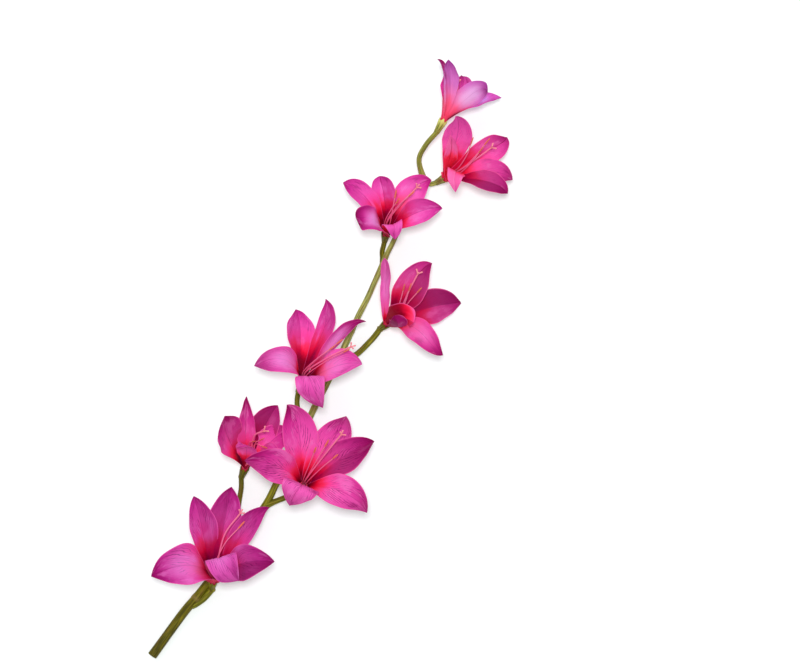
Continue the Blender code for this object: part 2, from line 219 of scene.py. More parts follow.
# Its toothed lip from outside to inside: share of a tooth's height, radius
LIP = [(0.55, 3.9), (1.0, 4.0), (1.0, 3.6), (0.5, 3.35)]
LIP_UP = 0.6
TEETH, TOOTH_TALL = 6, 2.6
# Its hollow that holds the foot of the bloom: height, radius
HOLLOW = [(0.3, 3.3), (-1.2, 3.3)]
# How long it is, and how far its pedicel runs into it
CALYX_LONG, PEDICEL_IN = 10.0, 2.5
# The greens from the cut end to the top, and what lightens and darkens them; then the browns and the pith
GREENS = [(0, (0.150, 0.125, 0.008)), (0.15, (0.208, 0.184, 0.003)), (0.35, (0.282, 0.277, 0.012)),
          (0.7, (0.515, 0.535, 0.133)), (1, (0.37, 0.38, 0.065))]
LIGHTER, DARKER = (1.8, 1.75, 3.0, 1), (0.36, 0.37, 0.4, 1)
OLD_PATCH, RING_BROWN = (0.17, 0.085, 0.02, 1), (0.24, 0.17, 0.045, 1)
PITH = (0.46, 0.44, 0.20, 1)


def unit(vector):
    """Vectors of length 1 that point the same way."""
    return vector / np.linalg.norm(vector, axis=-1, keepdims=True)


def smooth_path(points, pieces):
    """Points along one smooth curve through the given ones."""
    given = np.array(points, float)
    ends = np.vstack([2 * given[0] - given[1], given, 2 * given[-1] - given[-2]])
    out = []
    for i in range(len(given) - 1):
        a, b, c, d = ends[i:i + 4]
        for s in np.arange(pieces) / pieces:
            out.append(0.5 * (2 * b + (c - a) * s + (2 * a - 5 * b + 4 * c - d) * s ** 2
                              + (3 * b - a - 3 * c + d) * s ** 3))
    return np.array(out + [given[-1]])


def bloom_frame(heading, rise):
    """A bloom's axis, the way down from it square to it, and the third way round."""
    heading, rise = radians(heading), radians(rise)
    axis = np.array([cos(rise) * cos(heading), cos(rise) * sin(heading), sin(rise)])
    low = unit(np.array([0, 0, -1.0]) + axis[2] * axis)
    return axis, low, np.cross(axis, low)


def circle_round(turns, low, left):
    """Points on a circle of radius 1 square to a bloom's axis."""
    return np.cos(turns)[:, None] * low + np.sin(turns)[:, None] * left


def skin(rings, caps=(True, True)):
    """Faces over rings of points, with a point in the middle of each end that is capped."""
    count, sides = len(rings), len(rings[0])
    points = np.reshape(rings, (-1, 3))
    faces = []
    for i in range(count - 1):
        for j in range(sides):
            k = (j + 1) % sides
            faces.append((i * sides + j, i * sides + k, (i + 1) * sides + k, (i + 1) * sides + j))
    for end, capped_end in enumerate(caps):
        if capped_end:
            first = end * (count - 1) * sides
            points = np.vstack([points, points[first:first + sides].mean(0)])
            for j in range(sides):
                pair = (first + (j + 1) % sides, first + j)
                faces.append((len(points) - 1, *(pair[::-1] if end else pair)))
    return points, faces


def capped(rows, caps, end_row):
    """Guide rows with one more for each capped end."""
    return np.vstack([rows] + [end_row] * sum(caps))


def tube(path, radii, sides):
    """Rings round a path, each turned on from the last without twist."""
    along = unit(np.gradient(path, axis=0))
    side = unit(np.cross(along[0], [0.3, 0.2, 1.0]))
    turns = np.linspace(0, 2 * pi, sides, endpoint=False)
    rings = []
    for point, forward, radius in zip(path, along, radii):
        side = unit(side - (side @ forward) * forward)
        third = np.cross(forward, side)
        rings.append(point + circle_round(turns, side, third) * np.reshape(radius, (-1, 1)))
    return np.array(rings)


def make_mesh(name, pieces, materials):
    """One mesh from pieces of points, faces, a material number and up to four colour guides per point."""
    mesh = bpy.data.meshes.new(name)
    points, faces, numbers, guides = [], [], [], {"guide": [], "tone": [], "blush": [], "veined": []}
    count = 0
    for piece_points, piece_faces, number, *rows in pieces:
        points.append(placed(piece_points))
        faces += [tuple(count + i for i in face) for face in piece_faces]
        numbers += [number] * len(piece_faces)
        for key, row in zip(guides, rows + [(0, 0, 0)] * 4):
            guides[key].append(np.broadcast_to(row, (len(piece_points), 3)))
        count += len(piece_points)
    mesh.from_pydata(np.vstack(points).tolist(), [], faces)
    for key, rows in guides.items():
        mesh.attributes.new(key, "FLOAT_VECTOR", "POINT").data.foreach_set("vector", np.vstack(rows).ravel())
    for made in materials:
        mesh.materials.append(made)
    mesh.polygons.foreach_set("material_index", numbers)
    mesh.shade_smooth()
    mesh.set_sharp_from_angle(angle=radians(50))
    return mesh


def guides_of(tree):
    """The four colour guides of a mesh, as twelve sockets."""
    out = []
    for name in ("guide", "tone", "blush", "veined"):
        read = add(tree, "Attribute", attribute_name=name)
        out += list(add(tree, "SeparateXYZ", {0: read.outputs["Vector"]}).outputs)
    return out


def grown_noise(tree, along, across, seed, stretch, detail, roughness=0.5):
    """Noise drawn out along a stalk or a petal, with its own draw for each seed."""
    place = add(tree, "CombineXYZ", {0: times(tree, along, stretch[0]), 1: times(tree, across, stretch[1]),
                                     2: seed})
    noise = add(tree, "TexNoise", {"Vector": place.outputs[0], "Scale": 1.0, "Detail": detail,
                                   "Roughness": roughness})
    return noise.outputs[0]


green, tree, shader = new_material("stem_green")
# Guides: millimetres along, way round, end face; then height up the spray, joint ring, seed
along, around, end_face, upward, ring, seed = guides_of(tree)[:6]
streaks = grown_noise(tree, along, around, seed, (0.05, 9), 5.0, 0.6)
patches = grown_noise(tree, along, around, seed, (0.028, 1.2), 3.0)
body = ramp(tree, upward, GREENS)
light_green = mixed(tree, 1.0, body, LIGHTER, "MULTIPLY")
dark_green = mixed(tree, 1.0, body, DARKER, "MULTIPLY")
colour = mixed(tree, between(tree, streaks, 0.42, 0.66), dark_green, body)
colour = mixed(tree, between(tree, patches, 0.53, 0.76), colour, light_green)
colour = mixed(tree, between(tree, patches, 0.44, 0.30), colour, OLD_PATCH)
colour = mixed(tree, times(tree, ring, 0.8), colour, RING_BROWN)
colour = mixed(tree, end_face, colour, PITH)
tree.links.new(colour, shader.inputs["Base Color"])
tree.links.new(sums(tree, "MULTIPLY_ADD", streaks, 0.25, 0.36), shader.inputs["Roughness"])
shader.inputs["Specular IOR Level"].default_value = 0.12
fibres = grown_noise(tree, along, around, seed, (0.25, 26), 3.0)
bump = add(tree, "Bump", {"Height": fibres, "Strength": 0.5, "Distance": 0.0004})
tree.links.new(bump.outputs[0], shader.inputs["Normal"])


def green_piece(rings, height, ring_marks, seed, caps=(True, True)):
    """A green stalk or cup as a piece of the mesh, with its guides."""
    points, faces = skin(rings, caps)
    count, sides = rings.shape[:2]
    run = np.concatenate([[0], np.cumsum(np.linalg.norm(np.diff(rings.mean(1), axis=0), axis=1))])
    way_round = np.abs(np.linspace(-1, 1, sides, endpoint=False))
    guide = np.stack([np.repeat(run, sides), np.tile(way_round, count), np.zeros(count * sides)], -1)
    tone = np.stack([np.repeat(height, sides), np.repeat(ring_marks, sides), np.full(count * sides, seed)], -1)
    return points, faces, 0, capped(guide, caps, guide[-1]), capped(tone, caps, tone[-1])


def bulge(share, place, long):
    """1 at a place along a stalk and fading to 0 beside it."""
    return np.exp(-((share - place) / long) ** 2)


path = smooth_path(STEM, 14)
share = np.linspace(0, 1, len(path))
swell = sum(size * bulge(share, place, JOINT_LONG) for place, size in JOINTS)
marks = np.clip(sum(bulge(share, place, JOINT_MARK_LONG) for place, size in JOINTS), 0, 1)
turns = np.linspace(0, 2 * pi, STEM_SIDES, endpoint=False)
ribs = 1 - RIB_DEEP * np.cos(RIBS * turns[None, :] + 2.2 * np.sin(9 * share)[:, None]) ** 2
radii = (path[:, 3] * (1 + swell))[:, None] * ribs
radii[-1] *= TOP_SHARE
rings = tube(path[:, :3], radii, STEM_SIDES)
rings[..., 2] = np.maximum(rings[..., 2], 0)
pieces = [green_piece(rings, path[:, 1] / SPRAY_TOP, marks, 0.0, (False, True))]
middle = rings[0].mean(0)
cut = np.array([middle + (rings[0] - middle) * size for size, pale in CUT_FACE])
points, faces = skin(cut, (True, False))
paleness = np.repeat([pale for size, pale in CUT_FACE], STEM_SIDES)
way_round = np.tile(np.linspace(0, 1, STEM_SIDES), len(CUT_FACE))
guide = np.stack([np.zeros(paleness.size), way_round, paleness], -1)
pieces.append((points, faces, 0, capped(guide, (True,), (0, 0, 1)), (0, 0, 0.5)))

for number, (at, heading, rise, way) in CALYXES.items():
    axis, low, left = bloom_frame(heading, rise)
    at = np.array(at, float)
    foot = [tuple(at - CALYX_LONG * axis), tuple(at - (CALYX_LONG - PEDICEL_IN) * axis)]
    path = smooth_path(way + foot, 9)
    share = np.linspace(0, 1, len(path))
    swell = OTHER_COLLARS.get(number, COLLAR) * bulge(share, 0, COLLAR_LONG)
    swell = swell + RING_SWELL * bulge(share, RING_AT, RING_LONG)
    rings = tube(path, PEDICEL_R * THICK.get(number, 1) * (PEDICEL_WAIST + swell), PEDICEL_SIDES)
    rings[..., 2] = np.maximum(rings[..., 2], 0)
    marks = RING_MARK * bulge(share, RING_AT, RING_MARK_LONG)
    pieces.append(green_piece(rings, np.full(len(path), FRESH[number]), marks, number))
    # The calyx: a turned cup whose rim rises in low teeth round the foot of the bloom, thinner towards them
    turns = np.linspace(0, 2 * pi, 8 * TEETH, endpoint=False)
    tooth = (0.5 + 0.5 * np.cos(TEETH * turns)) ** 1.6
    circle = circle_round(turns, low, left)
    fluted = (1 + 0.03 * np.cos(TEETH * turns))[:, None]
    outer = [at + axis * up + circle * radius * fluted for up, radius in CALYX]
    lip = [at + axis * (LIP_UP + TOOTH_TALL * tall * tooth)[:, None] + circle * radius for tall, radius in LIP]
    inner = [at + axis * up + circle * radius for up, radius in HOLLOW]
    rings = np.array(outer + lip + inner)
    pieces.append(green_piece(rings, np.full(len(rings), FRESH[number]), np.zeros(len(rings)), number + 0.8))

stem = new_object("stem_grown", make_mesh("stem_grown", pieces, [green]))
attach(stem, "root")
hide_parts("stem")

# Blooms
# Each bloom is six thin petals in two whorls of three, joined at the foot in a short tube that stands in the
# calyx. The petals are magenta with fine darker veins, crimson in the throat and paler on their backs.

# A petal has its tip (right and up from the calyx, height over the table), its width and its bend along the
# axis; then as needed its roll in degrees, its reach along the tube, its sway, its flare in degrees, where it
# is widest and how much that is skewed from side to side, how wide its root is, how blunt its tip is and how
# deep its cup is. Its shade goes from -1, dark purple, to 1 and over, pale pink; it is partly the petal's own
# tone and partly painted light and shade, paler on petals turned away from the light and darker on others
# to stand for shade. Then how far the red of the throat spreads over it, how much its back is coloured like
# its face, where more than 1 makes its foot coral, how much pale lilac and painted sheen highlight lies on
# its middle, and its hue where that differs from the bloom's.
PETALS = {
    1: [dict(tip=(16, 82, 14), width=29, bend=6, shade=-0.6, red=0.3),
        dict(tip=(49, 65, 24), width=20, bend=6, sway=9, shade=-0.5, red=0.25),
        dict(tip=(55, 22, 60), width=31, bend=8, roll=18, sway=-5, shade=-0.65, red=0.2),
        dict(tip=(25, 6, 61), width=28, bend=14, roll=14, flare=-2, reach=52, sway=-17, widest=0.7, skew=0.13,
             root=0.5, blunt=2.4, cup=-0.5, shade=0.6, lilac_and_sheen=0.35),
        dict(tip=(-50, 8, 42), width=36, bend=8, widest=0.54, shade=-0.2, red=0.1, lilac_and_sheen=0.35),
        dict(tip=(-15, 75, 30), width=28, bend=6, roll=16, shade=-0.4, red=0.35)],
    2: [dict(tip=(29, 55, 22), width=26, bend=4, shade=-1, red=0.5),
        dict(tip=(38, 32, 20), width=26, bend=4, shade=0),
        dict(tip=(24, 6, 30), width=24, bend=4, shade=0.1),
        dict(tip=(-4, 21, 56), width=20, bend=6, roll=10, cup=-1, shade=0.4, red=0.2, pink_back=1),
        dict(tip=(-14, 47, 56), width=33, bend=-8, roll=-12, flare=33, widest=0.7, blunt=2.6, shade=-0.25,
             red=0.15),
        dict(tip=(3, 63, 32), width=17, bend=4, sway=3, widest=0.5, blunt=1.6, shade=-0.2, red=-0.1)],
    3: [dict(tip=(38, 62, 30), width=31, bend=6, sway=-6, shade=0.35),
        dict(tip=(62, 41, 38), width=28, bend=6, sway=4, shade=-0.6),
        dict(tip=(56, -18, 60), width=29, bend=6, roll=-4, sway=8, shade=0.4),
        dict(tip=(-9, -12, 58), width=32, bend=16, reach=56, sway=-2, cup=-1, shade=0.9),
        dict(tip=(-46, 26, 66), width=29, bend=8, shade=0.1),
        dict(tip=(-12, 72, 38), width=31, bend=6, roll=12, reach=46, sway=-8, shade=0.15)],
    4: [dict(tip=(21, 74, 8), width=16, bend=4, roll=20, sway=-12, blunt=2.4, shade=-0.3, red=0.35),
        dict(tip=(56, 54.5, 28), width=16, bend=6, roll=-40, sway=13, shade=-0.5, lilac_and_sheen=0.5),
        dict(tip=(53, 18.5, 54), width=30, bend=8, skew=-0.06, shade=0.7, red=0.3, lilac_and_sheen=0.45),
        dict(tip=(20, -18, 56), width=27, bend=16, roll=8, reach=52, sway=-16, skew=0.12, cup=-1, shade=0.75),
        dict(tip=(-38, 17, 50), width=24, bend=10, reach=54, widest=0.6, skew=-0.08, shade=0.45, lilac_and_sheen=0.6),
        dict(tip=(-5, 65, 0.4), width=28, bend=2, roll=28, reach=30, sway=-8, widest=0.58, shade=-0.15,
             red=0.35)],
    5: [dict(tip=(39.5, 52, 30), width=28, bend=6, sway=11, widest=0.56, shade=-0.62, red=0.35),
        dict(tip=(65, 18.5, 0.4), width=30, bend=2, sway=2, reach=30, widest=0.56, skew=-0.06, shade=-0.8,
             red=0.3),
        dict(tip=(48.6, -26, 44), width=21, bend=6, sway=-15, widest=0.57, shade=0.05, lilac_and_sheen=0.25),
        dict(tip=(7, 7, 60), width=15, bend=0, roll=-10, flare=30, widest=0.75, blunt=3.5, cup=2, shade=-0.8,
             pink_back=1),
        dict(tip=(24, 1.5, 53), width=23, bend=0, roll=55, reach=36, flare=20, widest=0.8, blunt=4, cup=2,
             shade=-0.1, red=1.45, pink_back=1),
        dict(tip=(-1, 56, 52), width=10, bend=4, roll=-60, sway=-4, flare=38, widest=0.75, blunt=4, root=0.6,
             shade=1.9, red=-0.5, pink_back=1, lilac_and_sheen=0.35, hue=0.05)],
    6: [dict(tip=(39, 46, 26), width=25, bend=5, sway=5, shade=0.05, red=0.3, lilac_and_sheen=0.2),
        dict(tip=(48, 21, 44), width=23, bend=5, shade=-0.15, red=0.35),
        dict(tip=(8, -5.5, 54), width=17, bend=14, reach=46, shade=0.5, red=0.5, pink_back=1.6),
        dict(tip=(-25, 13, 50), width=22, bend=5, roll=-5, sway=6, widest=0.75, root=0.5, blunt=4, shade=0,
             pink_back=1, lilac_and_sheen=1.2),
        dict(tip=(-36, 43, 38), width=18, bend=5, roll=10, sway=-2, blunt=3, shade=0, red=0.25),
        dict(tip=(-5, 49, 30), width=21, bend=5, sway=3, blunt=2.5, shade=-0.2, red=0.45)],
    7: [dict(tip=(54, 35.5, 10), width=23, bend=5, sway=-5, shade=-0.1, red=0.2, pink_back=1.6),
        dict(tip=(58, -2, 26), width=22, bend=5, shade=0.2, pink_back=1.6),
        dict(tip=(53.6, -14, 34), width=21, bend=5, shade=-0.75, red=0.25, pink_back=1.3),
        dict(tip=(9, -14, 56), width=16, bend=12, roll=10, reach=34, flare=14, sway=-22, root=0.75, cup=-1,
             shade=0.7, red=0.7, pink_back=1.9, hue=-0.4),
        dict(tip=(4, 34, 62), width=12, bend=5, roll=-70, reach=34, flare=30, root=0.8, shade=0.7, red=0.6,
             pink_back=1.8, hue=-0.45),
        dict(tip=(9, 50, 54), width=25, bend=5, roll=-12, flare=34, widest=0.66, root=0.5, blunt=2.6,
             shade=0.7, red=0.15, pink_back=1.7, hue=0.1)],
    8: [dict(tip=(17, 42, 8), width=22, bend=3, shade=0.4),
        dict(tip=(51, 22, 20), width=20, bend=-3, flare=22, sway=3, shade=0.9, red=0.2, lilac_and_sheen=1.5, hue=1),
        dict(tip=(38, 25.5, 50), width=20, bend=3, roll=-70, sway=3, widest=0.58, cup=1.6, shade=0,
             lilac_and_sheen=0.62),
        dict(tip=(5, 51, 56), width=14, bend=0, reach=22, flare=8, widest=0.7, blunt=2.6, shade=-0.2),
        dict(tip=(-4, 53, 40), width=22, bend=1, flare=22, shade=-0.1),
        dict(tip=(4, 46, 14), width=20, bend=3, shade=0)],
}
# How violet, or below 0 how coral, the blooms are
HUES = {1: 0.45, 2: 0, 3: 0, 4: 0.2, 5: -0.1, 6: 0.25, 7: -0.1, 8: 0.3}
# How strong the veins of a bloom are
VEINED = {1: 0.95, 2: 0.2, 3: 1, 4: 0.65, 5: 0.2, 6: 0.2, 7: 0.3, 8: 0.4}
# What a petal has where nothing else is given for it
REACH, FLARE, WIDEST, ROOT, BLUNT, CUP = 42, 16, 0.63, 0.2, 1.9, 1
# How far in degrees a petal beside the axis turns its face up, and how late it widens from its root
FACING, WIDENS_LATE = 32, 1.7
# Where petals spring in the tube: height, distance from the axis, and how much further out the second whorl is
SPRING_UP, SPRING_OUT, WHORL_STEP = 1.2, 1.5, 0.6
THIN = 0.36
# Relief: waves of the rim, the groove along the rib, low folds
RIM_WAVE, GROOVE, FOLD = 0.55, 0.45, 0.16
# How deep the open part of a petal is cupped and keeled, as a share of its width
BOWL, KEEL = 0.12, 0.1
LENGTHWISE, CROSSWISE = 46, 25
# The short tube turned from its foot to its mouth: height, radius
TUBE = [(-1.3, 2.6), (0.6, 2.65), (3.0, 2.85), (5.5, 3.1), (7.2, 3.3), (7.5, 3.0)]
TUBE_SIDES = 24
# The face of a petal from the throat to the tip, and its back. The near-black first stops of the face are
# partly the throat's own deep crimson and partly painted shade deep in the throat.
FACE = [(0, (0.02, 0.0, 0.004)), (0.12, (0.14, 0.0, 0.014)), (0.22, (0.44, 0.0, 0.026)),
        (0.31, (0.88, 0.006, 0.055)), (0.39, (1.0, 0.036, 0.14)), (0.48, (1.0, 0.066, 0.36)),
        (0.60, (0.90, 0.085, 0.43)), (0.78, (0.70, 0.032, 0.31)), (0.91, (0.46, 0.006, 0.17)),
        (1, (0.30, 0.001, 0.09))]
BACK = [(0, (0.60, 0.02, 0.06)), (0.14, (0.93, 0.06, 0.13)), (0.30, (1.0, 0.11, 0.23)),
        (0.46, (0.92, 0.22, 0.52)), (0.68, (0.78, 0.19, 0.58)), (1, (0.40, 0.045, 0.30))]
# Colours that a petal's shade mixes in: partly its own tone, partly painted light and shade
PALE_PINK, DEEP_PURPLE = (1.0, 0.16, 0.58, 1), (0.23, 0.0, 0.07, 1)
PINK_PATCH, DUSKY_PATCH = (0.98, 0.20, 0.60, 1), (0.30, 0.004, 0.125, 1)
VEIN, BACK_VEIN = (0.17, 0.0, 0.075, 1), (0.40, 0.03, 0.26, 1)
BRIGHT_RIM = (0.93, 0.11, 0.40, 1)
# Pale lilac with a painted sheen highlight, for the face and for the back
LILAC_AND_SHEEN, BACK_LILAC_AND_SHEEN = (1.0, 0.36, 0.84, 1), (0.88, 0.60, 0.86, 1)
TO_VIOLET, TO_CORAL = (0.84, 0.9, 1.16, 1), (1.06, 1.5, 0.72, 1)


def half_width(t, widest, root, blunt):
    """Half the width of a petal along its rib, as a share of its greatest width."""
    rise = root + (1 - root) * np.sin(pi / 2 * np.clip(t / widest, 0, 1) ** WIDENS_LATE)
    fall = np.clip((t - widest) / (1 - widest), 0, 1)
    return 0.5 * np.where(t < widest, rise, 0.015 + 0.985 * (1 - fall ** blunt))


def petal_angles(at, frame_of, petals):
    """Where the petals spring from, evenly round the axis and turned to face their tips."""
    axis, low, left = frame_of
    step = 2 * pi / len(petals)
    angles = []
    for k, petal in enumerate(petals):
        reach = np.array(petal["tip"], float) - (0, 0, at[2])
        angles.append(np.arctan2(reach @ left, reach @ low) + k * step)
    turn = np.angle(np.mean(np.exp(1j * np.array(angles))))
    return [turn - k * step for k in range(len(petals))]


def petal_surface(at, frame_of, angle, whorl, petal, rng):
    """The middle surface of a petal as rows from root to tip, with its guide along and across."""
    axis, low, left = frame_of
    out = cos(angle) * low + sin(angle) * left
    tip = np.array(petal["tip"], float) + (at[0], at[1], 0)
    lean = radians(petal.get("flare", FLARE))
    # The rib: one curve out of the tube, over the bend and down to the tip, with points set evenly along it
    start = at + SPRING_UP * axis + (SPRING_OUT + WHORL_STEP * whorl) * out
    first = start + petal.get("reach", REACH) * (cos(lean) * axis + sin(lean) * out)
    second = first + 0.6 * (tip - first) + petal["bend"] * axis + petal.get("sway", 0) * np.cross(axis, out)
    s = np.linspace(0, 1, 160)[:, None]
    fine = (1 - s) ** 3 * start + 3 * (1 - s) ** 2 * s * first + 3 * (1 - s) * s ** 2 * second + s ** 3 * tip
    run = np.concatenate([[0], np.cumsum(np.linalg.norm(np.diff(fine, axis=0), axis=1))])
    t = np.linspace(0, 1, LENGTHWISE) ** 0.85
    rib = np.stack([np.interp(t * run[-1], run, fine[:, i]) for i in range(3)], -1)
    # The petal's sideways and inward directions, rolled about the rib
    along = unit(np.gradient(rib, axis=0))
    across = np.cross(axis, out)
    side = unit(across - (along @ across)[:, None] * along)
    inner = np.cross(side, along)
    inner *= -np.sign(inner[0] @ out)
    roll = radians(petal.get("roll", 0) - FACING * sin(angle)) * np.clip(t / 0.6, 0, 1)[:, None]
    side, inner = side * np.cos(roll) + inner * np.sin(roll), inner * np.cos(roll) - side * np.sin(roll)
    # How far it is hollowed: round the tube at the root, in a shallow bowl where it is open
    widest, skew = petal.get("widest", WIDEST), petal.get("skew", 0)
    root, blunt = petal.get("root", ROOT), petal.get("blunt", BLUNT)
    half = petal["width"] * half_width(t, widest, root, blunt)
    far = np.maximum(np.linalg.norm(np.cross(rib - at, axis), axis=1), 1.5)
    opened = np.clip(t / 0.5, 0, 1)
    opened = opened * opened * (3 - 2 * opened)
    hollow = (1 - opened) * np.minimum(half / (2 * far), 0.5) + BOWL * petal.get("cup", CUP) * opened
    v = np.sin(np.linspace(-pi / 2, pi / 2, CROSSWISE)) * 0.5 + np.linspace(-1, 1, CROSSWISE) * 0.5
    t, v = t[:, None], v[None, :]
    halves = petal["width"] * np.where(v < 0, half_width(t, widest + skew, root, blunt),
                                       half_width(t, widest - skew, root, blunt))
    # Wavy edges that differ from side to side, a groove along the rib and low folds that fan out beside it
    free = np.clip((t - 0.28) / 0.3, 0, 1) * np.clip((1 - t) / 0.12, 0, 1)
    phases = rng.uniform(0, 2 * pi, 6)
    wave = np.where(v < 0, np.sin(17 * t + phases[0]) + 0.5 * np.sin(31 * t + phases[1]),
                    np.sin(15 * t + phases[2]) + 0.5 * np.sin(35 * t + phases[3]))
    fan = 11 * np.abs(v) ** 0.9 * pi * (0.6 + 0.25 * np.sin(4 * t + phases[4])) + phases[5]
    lift = halves * (hollow[:, None] * v ** 2 + KEEL * opened[:, None] * np.abs(v))
    lift = lift + RIM_WAVE * free * np.abs(v) ** 3 * wave
    lift = lift - GROOVE * free * np.exp(-(v / 0.07) ** 2)
    lift = lift + FOLD * free * np.cos(fan)
    spread = halves * v * (1 + 0.02 * np.sin(21 * t + phases[1]))
    surface = rib[:, None] + side[:, None] * spread[..., None] + inner[:, None] * lift[..., None]
    return surface, np.broadcast_to(t, surface.shape[:2]), np.broadcast_to(v, surface.shape[:2])


def petal_solid(surface, t, v):
    """Inner and outer face of a petal with its rim, thinner towards the edge, and its guide."""
    down, over = np.gradient(surface, axis=0), np.gradient(surface, axis=1)
    normal = unit(np.cross(over, down))
    depth = (0.5 * THIN * (1 - 0.55 * v ** 8))[..., None]
    rows, cols = t.shape
    points = np.vstack([(surface + normal * depth).reshape(-1, 3), (surface - normal * depth).reshape(-1, 3)])
    index = np.arange(rows * cols).reshape(rows, cols)
    quads = np.stack([index[:-1, :-1], index[:-1, 1:], index[1:, 1:], index[1:, :-1]], -1).reshape(-1, 4)
    border = np.concatenate([index[0], index[1:, -1], index[-1, -2::-1], index[-2:0:-1, 0]])
    ahead = np.roll(border, -1)
    back = rows * cols
    rim = np.stack([ahead, border, border + back, ahead + back], -1)
    faces = [tuple(face) for face in np.vstack([quads, quads[:, ::-1] + back, rim]).tolist()]
    guide = np.stack([np.tile(t.ravel(), 2), np.tile(v.ravel(), 2), np.repeat([0.0, 1.0], back)], -1)
    return points, faces, guide, normal


magenta, tree, shader = new_material("petal_magenta")
# Guides: way along the petal, way across it, its back; its shade, seed and hue; then how far the red of the
# throat spreads over it, how pink its back is, how much pale lilac and painted sheen highlight lies on it, and
# how strong its veins are
along, across, back, shade, seed, hue, red, pink_back, lilac_and_sheen, veined = guides_of(tree)[:10]
off_rib = sums(tree, "ABSOLUTE", across)
broad = grown_noise(tree, along, across, seed, (4.2, 1.5), 3.0, 0.55)
# Inner face from the throat to the tip, near black at its start, partly as painted shade deep in the throat.
# The red runs further up beside the rib than at the edges.
climb = sums(tree, "MULTIPLY_ADD", off_rib, 0.07, along)
climb = sums(tree, "ADD", climb, sums(tree, "MULTIPLY_ADD", broad, 0.24, -0.12))
lowest = sums(tree, "MAXIMUM", sums(tree, "MINIMUM", climb, 0.16), times(tree, pink_back, 0.19))
climb = sums(tree, "MAXIMUM", sums(tree, "MULTIPLY_ADD", red, -0.4, climb), lowest)
face = ramp(tree, climb, FACE)
open_part = between(tree, climb, 0.34, 0.54)
pale = mixed(tree, 0.6, face, PALE_PINK)
deep = mixed(tree, 0.85, face, DEEP_PURPLE)
# Painted shade of the fold at the rib: one half of a petal is a little lighter than the other, on either side
# as the seed has it
fold_shade_side = sums(tree, "SINE", sums(tree, "MULTIPLY_ADD", seed, 2.4, 0.6))
fold_painted_shade = times(tree, between(tree, across, -0.1, 0.1), 2.0)
fold_painted_shade = times(tree, sums(tree, "ADD", fold_painted_shade, -1.0), times(tree, fold_shade_side, 0.22))
shade = sums(tree, "ADD", shade, fold_painted_shade)
# Pale pink mixed in over the open part where the shade is above 0, deep purple where it is below: partly the
# petal's own tone and partly painted light and shade
face = mixed(tree, times(tree, sums(tree, "MAXIMUM", shade, 0), open_part), face, pale)
face = mixed(tree, sums(tree, "MAXIMUM", times(tree, shade, -1), 0, clamp=True), face, deep)
# Broad light patches on the paler petals, and dusky ones towards the tips
patch = times(tree, between(tree, broad, 0.52, 0.70), open_part)
patch = times(tree, patch, sums(tree, "ADD", shade, 1.0, clamp=True))
face = mixed(tree, times(tree, patch, 0.6), face, PINK_PATCH)
dusk = times(tree, between(tree, broad, 0.47, 0.30), between(tree, climb, 0.5, 0.7))
dusk = times(tree, dusk, sums(tree, "MULTIPLY_ADD", lilac_and_sheen, -0.65, 0.65))
face = mixed(tree, dusk, face, DUSKY_PATCH)
# Veins that leave the rib slantwise, wander a little and fade in and out
wander = grown_noise(tree, along, across, seed, (4, 2.6), 3.0)


def veins(lengthwise, crosswise, sway, thin):
    """Thin lines over the petal, as a share that is 1 on a line."""
    line = sums(tree, "MULTIPLY_ADD", off_rib, crosswise, times(tree, wander, sway))
    line = sums(tree, "MULTIPLY_ADD", along, lengthwise, line)
    return between(tree, sums(tree, "ABSOLUTE", sums(tree, "SINE", line)), thin, 0.0)


bold = veins(34.0, -24.0, 9.0, 0.5)
fine = veins(9.0, -40.0, 11.0, 0.6)
fading = grown_noise(tree, along, across, sums(tree, "ADD", seed, 7.7), (4.5, 2.6), 2.0)
shown = times(tree, between(tree, fading, 0.38, 0.60), between(tree, climb, 0.42, 0.60))
shown = times(tree, shown, between(tree, off_rib, 0.98, 0.7))
lines = sums(tree, "MAXIMUM", times(tree, times(tree, bold, shown), 0.95), times(tree, fine, 0.2))
rib_line = times(tree, between(tree, off_rib, 0.05, 0.0), between(tree, along, 0.25, 0.6))
lines = sums(tree, "MAXIMUM", times(tree, lines, veined), times(tree, rib_line, 0.4))
face = mixed(tree, lines, face, VEIN)
face = mixed(tree, times(tree, between(tree, off_rib, 0.91, 1.0), 0.7), face, BRIGHT_RIM)
# Painted sheen highlight, partly the petal's own paler lilac, on its middle along the rib
middle = sums(tree, "ABSOLUTE", sums(tree, "ADD", along, -0.58))
paleness = times(tree, between(tree, off_rib, 0.95, 0.2), between(tree, middle, 0.30, 0.06))
paleness = times(tree, times(tree, paleness, lilac_and_sheen), 0.85)
face = mixed(tree, paleness, face, LILAC_AND_SHEEN)
# Outer face: coral at the foot, then lilac pink with a violet tip
outside = ramp(tree, climb, BACK)
# The same painted sheen highlight, partly paler lilac, on the middle of the back
outside = mixed(tree, paleness, outside, BACK_LILAC_AND_SHEEN)
outside = mixed(tree, times(tree, lines, 0.6), outside, BACK_VEIN)
outside = mixed(tree, pink_back, outside, face)
colour = mixed(tree, back, face, outside)
colour = mixed(tree, sums(tree, "MAXIMUM", hue, 0), colour, TO_VIOLET, "MULTIPLY")
colour = mixed(tree, sums(tree, "MAXIMUM", times(tree, hue, -1), 0), colour, TO_CORAL, "MULTIPLY")
tree.links.new(colour, shader.inputs["Base Color"])
shader.inputs["Roughness"].default_value = 0.6
shader.inputs["Specular IOR Level"].default_value = 0.06
# Fabric-like grain with the veins a little sunk, and some light that comes through the thin petal
weave = add(tree, "TexNoise", {"Scale": 2600.0, "Detail": 2.0}).outputs[0]
relief = sums(tree, "MULTIPLY_ADD", weave, 0.25, times(tree, lines, -1.0))
bump = add(tree, "Bump", {"Height": relief, "Strength": 0.55, "Distance": 0.0004})
tree.links.new(bump.outputs[0], shader.inputs["Normal"])
glow = add(tree, "BsdfTranslucent", {"Color": colour})
through = add(tree, "MixShader", {0: 0.07, 1: shader.outputs[0], 2: glow.outputs[0]})
tree.links.new(through.outputs[0], tree.nodes["Material Output"].inputs["Surface"])

